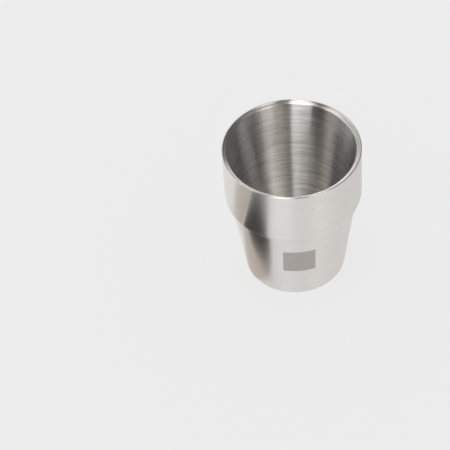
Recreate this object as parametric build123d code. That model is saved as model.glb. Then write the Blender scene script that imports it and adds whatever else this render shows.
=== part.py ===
from build123d import *
from math import cos, radians, sin, tan
import os

# Double-walled stacking cup, deep drawn in stainless sheet. Millimetres, +Z up.
# The origin is on the cup's axis, in the plane that the foot ring stands on.
# Each wall is one drawn sheet. They touch only at the rim, where their two edges
# stand side by side, are welded and are ground to one round bead.

# Whole cup
rim_radius = 41.0
cup_height = 96.0

# Outer shell: body cone, stacking shoulder and straight collar
shell_sheet = 0.5
base_radius = 30.5
base_corner_radius = 2.0
body_height = 56.5
crease_radius = 0.8
shoulder_radius = 6.0
shoulder_sweep = 55.0
shoulder_straight = 0.2

# Foot: the ring that the cup stands on, and the panel pressed up inside it
foot_width = 5.0
foot_step = 1.2
foot_step_run = 0.8
foot_step_radius = 1.0

# Inner liner: flat floor above the foot's panel, wall parallel to the body cone
# and flared lip
liner_sheet = 0.5
floor_gap = 2.8
floor_corner_radius = 6.0
stack_clearance = 0.2
lip_bend_radius = 0.8
lip_drop = 0.6
lip_root_radius = 0.3

# Rim bead: the two sheet edges side by side, each rounded on its free side
bead_height = 0.8
bead_rounding = 0.9  # share of each sheet's thickness that is ground round

# The shoulder leaves the collar in an arc, and a short slant brings it to the crease.
# The slant is long enough for the arc's and the crease's tangents.
sweep = radians(shoulder_sweep)
slant = (shoulder_radius + crease_radius) * tan(sweep / 2) + shoulder_straight
body_top_radius = rim_radius - slant * sin(sweep)
shoulder_height = body_height + slant * cos(sweep)

# A second cup's body cone slides into this one until its shoulder sits on the lip,
# so the liner has the body's taper and its mouth clears the body's top.
body_taper = (body_top_radius - base_radius) / body_height
flange_height = cup_height - bead_height
flange_radius = rim_radius - shell_sheet - liner_sheet
mouth_height = flange_height - lip_drop
mouth_radius = body_top_radius + stack_clearance
floor_height = foot_step + shell_sheet + floor_gap + liner_sheet
floor_radius = mouth_radius - body_taper * (mouth_height - floor_height)

foot_radius = base_radius - foot_width

# Corners of each wall's finished face, from the axis outwards and up to the rim.
# They are (radius, height), each with the radius that rounds it.
shell_corners = [
    ((foot_radius - foot_step_run, foot_step), foot_step_radius),
    ((foot_radius, 0), foot_step_radius),
    ((base_radius, 0), base_corner_radius),
    ((body_top_radius, body_height), crease_radius),
    ((rim_radius, shoulder_height), shoulder_radius),
]
liner_corners = [
    ((floor_radius, floor_height), floor_corner_radius),
    ((mouth_radius, mouth_height), lip_bend_radius),
    ((flange_radius, flange_height), lip_root_radius),
]


def drawn_wall(corners, rim_edge_radius, sheet, sheet_side, free_side):
    """One drawn sheet, turned about the axis from its finished face.

    sheet_side says on which side of the face the metal lies, going from the axis to
    the rim. free_side picks the edge at the rim that is ground round: 0 is the inner
    one, -1 the outer one. In the section, X is the radius and Y the height.
    """
    centre = (0, corners[0][0][1])
    rim_edge = (rim_edge_radius, cup_height)
    points = [centre] + [point for point, _ in corners] + [rim_edge]
    with BuildPart() as wall:
        with BuildSketch(Plane.XZ) as section:
            with BuildLine():
                FilletPolyline(*points, radius=[radius for _, radius in corners])
                offset(amount=sheet, side=sheet_side)
            make_face()
            rim_corners = section.vertices().group_by(Axis.Y)[-1].sort_by(Axis.X)
            fillet(rim_corners[free_side], radius=bead_rounding * sheet)
        revolve(axis=Axis.Z)
    return wall.part


outer_shell = drawn_wall(shell_corners, rim_radius, shell_sheet, Side.LEFT, -1)
inner_liner = drawn_wall(liner_corners, flange_radius, liner_sheet, Side.RIGHT, 0)

os.makedirs("parts", exist_ok=True)
export_step(outer_shell, "parts/outer_shell.step")
export_step(inner_liner, "parts/inner_liner.step")
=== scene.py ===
from math import atan2, cos, pi, radians, sin, tan

import bmesh
import bpy
from mathutils import Matrix, Vector


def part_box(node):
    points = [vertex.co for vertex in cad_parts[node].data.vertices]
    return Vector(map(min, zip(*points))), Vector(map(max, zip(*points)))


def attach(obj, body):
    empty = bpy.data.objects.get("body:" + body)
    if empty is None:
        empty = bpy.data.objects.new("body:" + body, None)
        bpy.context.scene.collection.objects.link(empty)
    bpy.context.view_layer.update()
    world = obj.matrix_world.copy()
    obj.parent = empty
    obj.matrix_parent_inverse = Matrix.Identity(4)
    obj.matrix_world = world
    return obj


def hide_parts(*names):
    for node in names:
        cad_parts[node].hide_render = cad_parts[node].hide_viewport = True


# Looks of the double-walled drawn steel cup. Metres, in the CAD's frame: the origin
# is on the cup's axis in the plane that it stands on, +Z is up and -Y faces the camera.

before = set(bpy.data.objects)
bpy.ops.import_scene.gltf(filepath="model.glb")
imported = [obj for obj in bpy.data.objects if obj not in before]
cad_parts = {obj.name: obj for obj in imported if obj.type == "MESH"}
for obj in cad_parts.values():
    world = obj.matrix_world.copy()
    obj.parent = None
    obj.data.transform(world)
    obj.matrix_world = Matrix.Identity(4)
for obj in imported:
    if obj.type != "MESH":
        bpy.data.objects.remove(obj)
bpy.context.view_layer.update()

# Whole cup, from the CAD
rim_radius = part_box("outer_shell")[1].x
cup_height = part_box("outer_shell")[1].z
sheet = 0.0005

# Outer shell
base_radius = 0.0305
base_corner_radius = 0.002
body_height = 0.0565
crease_radius = 0.0008
shoulder_radius = 0.006
shoulder_sweep = radians(55)
shoulder_straight = 0.0002
foot_width = 0.005
foot_step = 0.0012
foot_step_run = 0.0008
foot_step_radius = 0.001

# Inner liner
floor_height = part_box("inner_liner")[0].z + sheet
floor_corner_radius = 0.006
stack_clearance = 0.0002
lip_bend_radius = 0.0008
lip_drop = 0.0006
lip_root_radius = 0.0003

# Rim bead
bead_height = 0.0008
bead_rounding = 0.9 * sheet

# Etched field on the body: plain, with nothing in it
etched_width = 0.0196
etched_height = 0.0198
etched_middle = 0.0343
etched_turn = radians(3.7)
etched_edge = 0.0002

# The faint scratch on the collar, so thin that its two soft edges meet in its middle
scratch_turn = radians(14.9)
scratch_height = 0.0846
scratch_length = 0.003
scratch_width = 0.0009
scratch_strength = 0.9

slant = (shoulder_radius + crease_radius) * tan(shoulder_sweep / 2) + shoulder_straight
body_top_radius = rim_radius - slant * sin(shoulder_sweep)
shoulder_height = body_height + slant * cos(shoulder_sweep)
body_taper = (body_top_radius - base_radius) / body_height
flange_height = cup_height - bead_height
seam_radius = rim_radius - sheet
flange_radius = seam_radius - sheet
mouth_height = flange_height - lip_drop
mouth_radius = body_top_radius + stack_clearance
floor_radius = mouth_radius - body_taper * (mouth_height - floor_height)
foot_radius = base_radius - foot_width

# Corners of each wall's finished face: (radius, height), and the radius that rounds it
shell_corners = [
    ((foot_radius - foot_step_run, foot_step), foot_step_radius),
    ((foot_radius, 0), foot_step_radius),
    ((base_radius, 0), base_corner_radius),
    ((body_top_radius, body_height), crease_radius),
    ((rim_radius, shoulder_height), shoulder_radius),
    ((rim_radius, cup_height), bead_rounding),
]
liner_corners = [
    ((floor_radius, floor_height), floor_corner_radius),
    ((mouth_radius, mouth_height), lip_bend_radius),
    ((flange_radius, flange_height), lip_root_radius),
    ((flange_radius, cup_height), bead_rounding),
]

# How finely the turned meshes are divided, and where they are crisp
turn_steps = 288
arc_step = radians(6)
fewest_arc_steps = 3
run_step = 0.003
on_axis = 1e-7
crisp_angle = radians(30)


def left_of(heading):
    return Vector((-sin(heading), cos(heading)))


def rounded_line(corners, end):
    """The finished face from the axis to end: (point, heading) along the section."""
    points = [Vector((0, corners[0][0][1]))]
    points += [Vector(point) for point, _ in corners] + [Vector(end)]
    headings = [atan2(*(b - a).yx) for a, b in zip(points, points[1:])]
    line = []
    start = points[0]
    for k, (_, radius) in enumerate(corners):
        turn = (headings[k + 1] - headings[k] + pi) % (2 * pi) - pi
        reach = radius * tan(abs(turn) / 2)
        stop = points[k + 1] - Vector((cos(headings[k]), sin(headings[k]))) * reach
        runs = max(1, round((stop - start).length / run_step))
        line += [(start.lerp(stop, n / runs), headings[k]) for n in range(runs)]
        bend = radius if turn > 0 else -radius
        centre = stop + left_of(headings[k]) * bend
        arcs = max(fewest_arc_steps, round(abs(turn) / arc_step))
        for n in range(arcs + 1):
            heading = headings[k] + turn * n / arcs
            line.append((centre - left_of(heading) * bend, heading))
        start = line.pop()[0]
    return line + [(start, headings[-1]), (points[-1], headings[-1])]


def wall_section(corners, metal_side):
    """A sheet's closed section, from the axis up the finished face and back down.

    metal_side is 1 where the metal lies left of the face, going to the rim, and -1
    where it lies right. Returns the points and how many belong to the finished face.
    """
    face = [point for point, _ in rounded_line(corners, (seam_radius, cup_height))]
    up_to_rim = rounded_line(corners[:-1], corners[-1][0])
    back = [point + left_of(heading) * metal_side * sheet for point, heading in up_to_rim]
    return face + back[-2::-1], len(face)


def ring_of(mesh, point):
    """The vertices that a point of the section makes when it is turned: one on the axis."""
    if point.x < on_axis:
        return [mesh.verts.new((0, 0, point.y))]
    turns = [2 * pi * k / turn_steps for k in range(turn_steps)]
    return [mesh.verts.new((point.x * sin(turn), -point.x * cos(turn), point.y)) for turn in turns]


def turned(name, corners, metal_side, polished_above, materials):
    """A wall turned about the axis, with smooth faces and a crisp edge at the seam.

    Faces of the finished side above polished_above take the second material.
    """
    section, face_count = wall_section(corners, metal_side)
    lengths = [0.0]
    for a, b in zip(section, section[1:]):
        lengths.append(lengths[-1] + (b - a).length)
    mesh = bmesh.new()
    uv = mesh.loops.layers.uv.new("UVMap")
    rings = [ring_of(mesh, point) for point in section]
    for n, (low, high) in enumerate(zip(rings, rings[1:])):
        middle = (section[n].y + section[n + 1].y) / 2
        polished = n < face_count - 1 and middle > polished_above
        for k in range(turn_steps):
            spots = [(low, k, n), (low, k + 1, n), (high, k + 1, n + 1), (high, k, n + 1)]
            spots = [(ring, step, row) for ring, step, row in spots if len(ring) > 1 or step == k]
            face = mesh.faces.new([ring[step % len(ring)] for ring, step, _ in spots])
            face.smooth = True
            face.material_index = int(polished)
            for loop, (_, step, row) in zip(face.loops, spots):
                loop[uv].uv = (step / turn_steps, lengths[row] / lengths[-1])
    bmesh.ops.recalc_face_normals(mesh, faces=mesh.faces)
    for edge in mesh.edges:
        if len(edge.link_faces) == 2 and edge.calc_face_angle(0) > crisp_angle:
            edge.smooth = False
    data = bpy.data.meshes.new(name)
    mesh.to_mesh(data)
    mesh.free()
    for material in materials:
        data.materials.append(material)
    piece = bpy.data.objects.new(name, data)
    bpy.context.scene.collection.objects.link(piece)
    return piece


# Materials

class Graph:
    """The nodes of a material or world, written as calls that take links or plain values."""

    def __init__(self, owner, output):
        owner.use_nodes = True
        self.owner = owner
        self.tree = owner.node_tree
        self.tree.nodes.clear()
        self.out = self.node(output)

    def node(self, kind, inputs=(), **settings):
        made = self.tree.nodes.new("ShaderNode" + kind)
        for key, value in settings.items():
            setattr(made, key, value)
        for key, value in dict(inputs).items():
            self.feed(made.inputs[key], value)
        return made

    def feed(self, socket, value):
        if isinstance(value, bpy.types.NodeSocket):
            self.tree.links.new(value, socket)
        else:
            socket.default_value = value

    def math(self, operation, *values):
        made = self.node("Math", operation=operation)
        for socket, value in zip(made.inputs, values):
            self.feed(socket, value)
        return made.outputs[0]

    def ramp(self, value, low, high, to_low=0.0, to_high=1.0):
        made = self.node("MapRange", {"Value": value, "From Min": low, "From Max": high,
                                      "To Min": to_low, "To Max": to_high})
        return made.outputs[0]

    def mix(self, share, low, high):
        made = self.node("Mix", data_type="RGBA")
        self.feed(made.inputs["Factor"], share)
        self.feed(made.inputs["A"], low)
        self.feed(made.inputs["B"], high)
        return made.outputs["Result"]

    def finish(self, shader):
        self.feed(self.out.inputs[0], shader)
        return self.owner


def material_graph(name):
    return Graph(bpy.data.materials.new(name), "OutputMaterial")


def colour(red, green, blue):
    return (red, green, blue, 1.0)


# Brushing: the finest grooves tip the normal, and fine and broad lines set the tone.
# Their noise is stretched from noise_low to noise_high to reach both tones. The gloss
# is drawn out across the lines, a quarter turn from them.
groove_width = 0.00008
broad_length = 0.03
broad_to_fine = 3
fine_share = 0.6
noise_roughness = 0.6
noise_low = 0.4
noise_middle = 0.5
noise_high = 0.6
quarter_turn = 0.25

scratch_tone = colour(0.3, 0.26, 0.2)
etched_dark = colour(0.37, 0.343, 0.32)
etched_bright = colour(0.455, 0.427, 0.405)
etched_roughness = 0.6
speckle_scale = 3000.0


def axis_distance(graph, x, y):
    squares = graph.math("ADD", graph.math("MULTIPLY", x, x), graph.math("MULTIPLY", y, y))
    return graph.math("SQRT", squares)


def brush_lines(graph, length, width, detail):
    """Noise drawn out round the cup into lines of this length and width."""
    place = graph.node("TexCoord").outputs["Object"]
    x, y, z = graph.node("SeparateXYZ", {"Vector": place}).outputs
    climb = graph.math("ADD", axis_distance(graph, x, y), z)
    spot = graph.node("CombineXYZ", {
        "X": graph.math("DIVIDE", x, length),
        "Y": graph.math("DIVIDE", y, length),
        "Z": graph.math("DIVIDE", climb, width),
    })
    noise = graph.node("TexNoise", {"Vector": spot.outputs[0], "Scale": 1.0, "Detail": detail,
                                    "Roughness": noise_roughness})
    return noise.outputs["Fac"]


def patch_mask(graph, turn, height, half_width, half_height, edge):
    """1 inside a patch of the outer wall, 0 outside, with a soft edge this wide."""
    place = graph.node("TexCoord").outputs["Object"]
    x, y, z = graph.node("SeparateXYZ", {"Vector": place}).outputs
    heading = graph.math("ARCTAN2", x, graph.math("MULTIPLY", y, -1.0))
    aside = graph.math("MULTIPLY", graph.math("SUBTRACT", heading, turn), axis_distance(graph, x, y))
    aside = graph.math("ABSOLUTE", aside)
    above = graph.math("ABSOLUTE", graph.math("SUBTRACT", z, height))
    inside_width = graph.ramp(aside, half_width + edge / 2, half_width - edge / 2)
    inside_height = graph.ramp(above, half_height + edge / 2, half_height - edge / 2)
    return graph.math("MULTIPLY", inside_width, inside_height)


def grooved_normal(graph, grooves, tilt, lean):
    """The surface's normal, leant up by lean and tipped up and down by the grooves."""
    tip = graph.math("MULTIPLY", graph.math("SUBTRACT", grooves, noise_middle), tilt)
    lift = graph.node("CombineXYZ", {"Z": graph.math("ADD", tip, lean)}).outputs[0]
    normal = graph.node("NewGeometry").outputs["Normal"]
    tipped = graph.node("VectorMath", {0: normal, 1: lift}, operation="ADD")
    return graph.node("VectorMath", {0: tipped.outputs[0]}, operation="NORMALIZE").outputs[0]


def scratched(graph, tone):
    """The tone with the scratch on the collar."""
    scratch = patch_mask(graph, scratch_turn, scratch_height, scratch_length / 2, 0.0, scratch_width)
    return graph.mix(graph.math("MULTIPLY", scratch, scratch_strength), tone, scratch_tone)


def etched_field(graph):
    """The etched field's mask and its speckled grey."""
    mask = patch_mask(graph, etched_turn, etched_middle, etched_width / 2, etched_height / 2,
                      etched_edge)
    speckle = graph.node("TexNoise", {"Vector": graph.node("TexCoord").outputs["Object"],
                                      "Scale": speckle_scale, "Detail": 2.0})
    return mask, graph.mix(speckle.outputs["Fac"], etched_dark, etched_bright)


def brushed_steel(name, bright, dark, sheens, anisotropy, tilt, line_width, line_length, marked=False):
    """Steel with fine lines round the cup.

    Each of the sheens is (lean, roughness) and takes an equal share. A sheen's normal is
    leant up by its lean, so that several draw the gloss out up and down, not sideways.
    Marked steel carries the scratch and the etched field, which is matt.
    """
    graph = material_graph(name)
    fine = brush_lines(graph, line_length, line_width, detail=3.0)
    broad = brush_lines(graph, broad_length, line_width * broad_to_fine, detail=2.0)
    lines = graph.math("ADD", graph.math("MULTIPLY", fine, fine_share),
                       graph.math("MULTIPLY", broad, 1 - fine_share))
    tone = graph.mix(graph.ramp(lines, noise_low, noise_high), dark, bright)
    metal = 1.0
    roughnesses = [rough for _, rough in sheens]
    if marked:
        field, grey = etched_field(graph)
        tone = graph.mix(field, scratched(graph, tone), grey)
        metal = graph.ramp(field, 0.0, 1.0, metal, 0.0)
        roughnesses = [graph.ramp(field, 0.0, 1.0, rough, etched_roughness) for _, rough in sheens]
    grooves = brush_lines(graph, line_length, groove_width, detail=1.0)
    tangent = graph.node("Tangent", direction_type="RADIAL", axis="Z").outputs[0]
    steel = None
    for count, ((lean, _), roughness) in enumerate(zip(sheens, roughnesses), start=1):
        sheen = graph.node("BsdfPrincipled", {
            "Base Color": tone,
            "Metallic": metal,
            "Roughness": roughness,
            "Anisotropic": anisotropy,
            "Anisotropic Rotation": quarter_turn,
            "Normal": grooved_normal(graph, grooves, tilt, lean),
            "Tangent": tangent,
        }).outputs[0]
        if steel:
            sheen = graph.node("MixShader", {0: 1 / count, 1: steel, 2: sheen}).outputs[0]
        steel = sheen
    return graph.finish(steel)


outer_steel = brushed_steel("brushed_outside", colour(0.84, 0.815, 0.783), colour(0.755, 0.73, 0.7),
                            sheens=[(0.0, 0.35)], anisotropy=0.85, tilt=0.3, line_width=0.00015,
                            line_length=0.01, marked=True)
inner_steel = brushed_steel("brushed_inside", colour(0.88, 0.865, 0.84), colour(0.56, 0.54, 0.513),
                            sheens=[(-0.36, 0.2), (0.0, 0.28), (0.36, 0.2)], anisotropy=1.0, tilt=0.3,
                            line_width=0.0004, line_length=0.015)
rim_steel = brushed_steel("polished_rim", colour(0.74, 0.72, 0.695), colour(0.62, 0.6, 0.575),
                          sheens=[(0.0, 0.3)], anisotropy=0.95, tilt=0.6, line_width=0.00015,
                          line_length=0.01)

# Pieces

shell = turned("shell_wall", shell_corners, 1, cup_height - bead_rounding, [outer_steel, rim_steel])
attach(shell, "root")
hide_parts("outer_shell")

liner = turned("liner_wall", liner_corners, -1, mouth_height, [inner_steel, rim_steel])
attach(liner, "root")
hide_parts("inner_liner")

# Studio: a pale floor, tall softboxes and the dimmer panels between them.
# Azimuth is the compass round the cup: 0 is straight in front of it (-Y), +90 is +X.

background = 0.85
fill_light = 1.2
sky_grey = 0.8
paper_radius = 6.0
paper_glow = 0.85
studio_radius = 1.6
studio_middle = 0.07
panel_lean = radians(22)
lamp_from = 1.5
stage_steps = 96


def seen_directly(graph):
    """1 for the camera and for what metal mirrors, 0 for light that falls on things."""
    path = graph.node("LightPath")
    seen = graph.math("MAXIMUM", path.outputs["Is Camera Ray"], path.outputs["Is Glossy Ray"])
    return graph.math("MAXIMUM", seen, path.outputs["Is Transmission Ray"])


def floor_paper():
    """Pale paper. The share that glows is as pale in any light, the rest takes the shadow."""
    graph = material_graph("floor_paper")
    pale = colour(background, background, background)
    paper = graph.node("BsdfDiffuse", {"Color": pale}).outputs[0]
    glow = graph.node("Emission", {"Color": pale, "Strength": 1.0}).outputs[0]
    share = graph.math("MULTIPLY", seen_directly(graph), paper_glow)
    return graph.finish(graph.node("MixShader", {0: share, 1: paper, 2: glow}).outputs[0])


def glowing(name, tone):
    graph = material_graph(name)
    return graph.finish(graph.node("Emission", {"Color": colour(*tone), "Strength": 1.0}).outputs[0])


def disc_mesh(radius):
    mesh = bmesh.new()
    bmesh.ops.create_circle(mesh, cap_ends=True, segments=stage_steps, radius=radius)
    return mesh


def tube_mesh(radius, depth):
    mesh = bmesh.new()
    bmesh.ops.create_cone(mesh, cap_ends=False, segments=stage_steps, radius1=radius, radius2=radius,
                          depth=depth)
    return mesh


def sheet_mesh(width, height):
    mesh = bmesh.new()
    bmesh.ops.create_grid(mesh, x_segments=1, y_segments=1, size=0.5)
    bmesh.ops.scale(mesh, vec=(width, height, 1), verts=mesh.verts)
    return mesh


def staged(name, mesh, material):
    data = bpy.data.meshes.new(name)
    mesh.to_mesh(data)
    mesh.free()
    data.materials.append(material)
    made = bpy.data.objects.new(name, data)
    bpy.context.scene.collection.objects.link(made)
    return made


def mirrored(name, mesh, tone, place):
    """A thing that glows in its tone, and that only metal shows."""
    made = staged(name, mesh, glowing(name, tone))
    made.matrix_world = place
    made.visible_camera = False
    made.visible_diffuse = False
    made.visible_shadow = False


def placed(azimuth_from, azimuth_to, low, high):
    """Place, width and height of a panel that spans these angles, leaning to the cup."""
    middle = radians(azimuth_from + azimuth_to) / 2
    outwards = Vector((sin(middle), -cos(middle), 0))
    upwards = Vector((0, 0, cos(panel_lean))) - outwards * sin(panel_lean)
    rise = studio_radius * (tan(radians(high)) - tan(radians(low)))
    height = rise / (cos(panel_lean) + sin(panel_lean) * tan(radians(high)))
    half_angle = radians(azimuth_to - azimuth_from) / 2
    width = 2 * (studio_radius - height / 2 * sin(panel_lean)) * tan(half_angle)
    foot = outwards * studio_radius + Vector((0, 0, studio_middle + studio_radius * tan(radians(low))))
    turn = Matrix.Rotation(middle, 4, "Z") @ Matrix.Rotation(pi / 2 - panel_lean, 4, "X")
    return Matrix.Translation(foot + upwards * height / 2) @ turn, width, height


def lamp_panel(name, place, width, height, tone):
    """A rectangular lamp that shows in metal with the brightness of its tone."""
    lamp = bpy.data.lights.new(name, "AREA")
    lamp.shape = "RECTANGLE"
    lamp.size = width
    lamp.size_y = height
    lamp.color = [level / max(tone) for level in tone]
    lamp.energy = max(tone) * pi * width * height
    made = bpy.data.objects.new(name, lamp)
    made.matrix_world = place
    made.visible_diffuse = False
    bpy.context.scene.collection.objects.link(made)


def panel(name, place, width, height, tone):
    """A lamp where the tone is brighter than lamp_from, and a glowing sheet elsewhere."""
    if max(tone) > lamp_from:
        lamp_panel(name, place, width, height, tone)
    else:
        mirrored(name, sheet_mesh(width, height), tone, place)


staged("floor", disc_mesh(paper_radius), floor_paper())

# What stands round the cup: name, azimuth from and to, elevation from and to, and the
# brightness in red, green and blue. Between these panels the surround is dark.
panels = [
    ("window_left_sill", 326, 358, 3, 20, (1.85, 1.9, 2.0)),
    ("window_left", 326, 358, 20, 50, (1.55, 1.65, 1.75)),
    ("window_left_top", 326, 358, 50, 66, (3.8, 3.85, 4.05)),
    ("edge_sill", 11, 28, 3, 20, (0.65, 0.55, 0.5)),
    ("window_middle_sill", 28, 46, 3, 20, (1.8, 1.7, 1.65)),
    ("window_middle", 28, 46, 36, 50, (3.65, 3.6, 3.7)),
    ("window_middle_top", 28, 46, 50, 66, (4.7, 4.5, 4.4)),
    ("window_right_sill", 46, 62, 3, 36, (0.55, 0.5, 0.5)),
    ("window_right", 46, 62, 36, 66, (3.3, 3.2, 3.15)),
    ("right_sill", 62, 90, 3, 20, (0.65, 0.6, 0.55)),
    ("right_low", 62, 90, 20, 36, (0.25, 0.2, 0.2)),
    ("right_top", 62, 96, 50, 66, (0.15, 0.2, 0.3)),
    ("streak_sill", 96, 104, 3, 20, (0.6, 0.6, 0.6)),
    ("streak_top", 96, 104, 50, 66, (2.1, 2.15, 2.15)),
    ("rear_right_sill", 150, 180, 3, 20, (1.85, 1.9, 1.95)),
    ("rear_right", 150, 180, 20, 66, (0.38, 0.38, 0.38)),
    ("rear_left_sill", 180, 215, 3, 20, (3.0, 3.0, 3.2)),
    ("rear_left_low", 180, 215, 20, 36, (0.2, 0.2, 0.2)),
    ("rear_left", 180, 215, 36, 50, (0.8, 0.75, 0.65)),
    ("left_rear_sill", 215, 248, 3, 20, (1.85, 1.9, 1.95)),
    ("left_rear_low", 215, 248, 20, 36, (0.25, 0.3, 0.4)),
    ("left_rear", 215, 248, 36, 66, (0.9, 0.85, 0.8)),
    ("left_sill", 248, 276, 3, 20, (2.05, 2.05, 2.1)),
    ("left_low", 248, 276, 20, 36, (0.9, 0.9, 0.9)),
    ("left", 248, 276, 36, 50, (1.35, 1.25, 1.25)),
    ("left_top", 248, 276, 50, 66, (4.1, 4.0, 4.0)),
    ("left_front_sill", 276, 288, 3, 20, (1.6, 1.6, 1.6)),
    ("left_front", 276, 288, 36, 50, (0.9, 0.9, 0.85)),
    ("left_front_top", 276, 288, 50, 66, (1.9, 1.8, 1.5)),
    ("front_left_sill", 288, 302, 3, 20, (0.9, 0.8, 0.7)),
]
for name, azimuth_from, azimuth_to, low, high, tone in panels:
    panel(name, *placed(azimuth_from, azimuth_to, low, high), tone)

# The dark surround behind the panels
dark = (0.02, 0.02, 0.02)
surround_radius = 1.9
surround_low = radians(3)
surround_high = radians(70)
surround_foot = studio_middle + surround_radius * tan(surround_low)
surround_top = studio_middle + surround_radius * tan(surround_high)
surround_middle = Vector((0, 0, (surround_foot + surround_top) / 2))
surround = tube_mesh(surround_radius, surround_top - surround_foot)
mirrored("dark_surround", surround, dark, Matrix.Translation(surround_middle))

# Ceiling panels: name, middle in X and Y, width, length and brightness
ceiling_height = 2.6
ceiling_panels = [
    ("top_left", -0.45, -0.45, 0.9, 0.9, (5.2, 5.2, 5.3)),
    ("top_right", 0.45, -0.45, 0.9, 0.9, (0.25, 0.25, 0.25)),
    ("top_rear", 0, 0.6, 1.8, 1.2, dark),
]
for name, x, y, width, length, tone in ceiling_panels:
    panel(name, Matrix.Translation((x, y, ceiling_height)), width, length, tone)

# A dark oval, a grey drum behind it and a brown card on the floor close on the left.
# The cup mirrors them as the dark and the brown bands there, and nothing else shows them.
oval_middle = Vector((-0.0469, -0.0542, 0.0363))
oval_heading = Vector((0.9, -0.435, 0.12)).normalized()
oval_half_width = 0.032
oval_half_height = 0.0395
oval_tone = (0.015, 0.014, 0.012)
drum_depth = 0.036
drum_to_oval = 1.03
drum_tone = (0.48, 0.435, 0.395)
card_middle = Vector((-0.05, -0.025, 0.0005))
card_radius = 0.0255
card_tone = (0.54, 0.48, 0.44)
oval_turn = oval_heading.to_track_quat("Z", "Y").to_matrix().to_4x4()
oval_form = oval_turn @ Matrix.Diagonal((oval_half_width, oval_half_height, 1, 1))
drum_middle = oval_middle - oval_heading * drum_depth / 2
drum = tube_mesh(drum_to_oval, drum_depth)
mirrored("near_disc", disc_mesh(1), oval_tone, Matrix.Translation(oval_middle) @ oval_form)
mirrored("near_drum", drum, drum_tone, Matrix.Translation(drum_middle) @ oval_form)
mirrored("near_shade", disc_mesh(card_radius), card_tone, Matrix.Translation(card_middle))

# The world lights what is matt at one level, and metal mirrors it at another.
world = bpy.data.worlds.new("studio")
bpy.context.scene.world = world
sky = Graph(world, "OutputWorld")
sky_level = sky.ramp(seen_directly(sky), 0.0, 1.0, fill_light, background)
sky_tone = colour(sky_grey, sky_grey, sky_grey)
sky.finish(sky.node("Background", {"Color": sky_tone, "Strength": sky_level}).outputs[0])

# Camera, fitted to the outlines of the cup in the photo

camera_spot = Vector((0.0, -0.701745, 0.799996))
camera_right = Vector((0.998479, -0.000037, -0.055137))
camera_down = Vector((-0.037161, -0.739204, -0.672455))
camera_forward = Vector((-0.040732, 0.673481, -0.738081))
lens_pixels = 1700
image_pixels = 450

eye = bpy.data.cameras.new("camera")
eye.sensor_width = 36
eye.lens = eye.sensor_width * lens_pixels / image_pixels
eye.clip_start = 0.01
eye.clip_end = 50
camera = bpy.data.objects.new("camera", eye)
turn = Matrix((camera_right, -camera_down, -camera_forward)).transposed()
camera.matrix_world = Matrix.Translation(camera_spot) @ turn.to_4x4()
bpy.context.scene.collection.objects.link(camera)
bpy.context.scene.camera = camera
bpy.context.scene.view_settings.view_transform = "Standard"
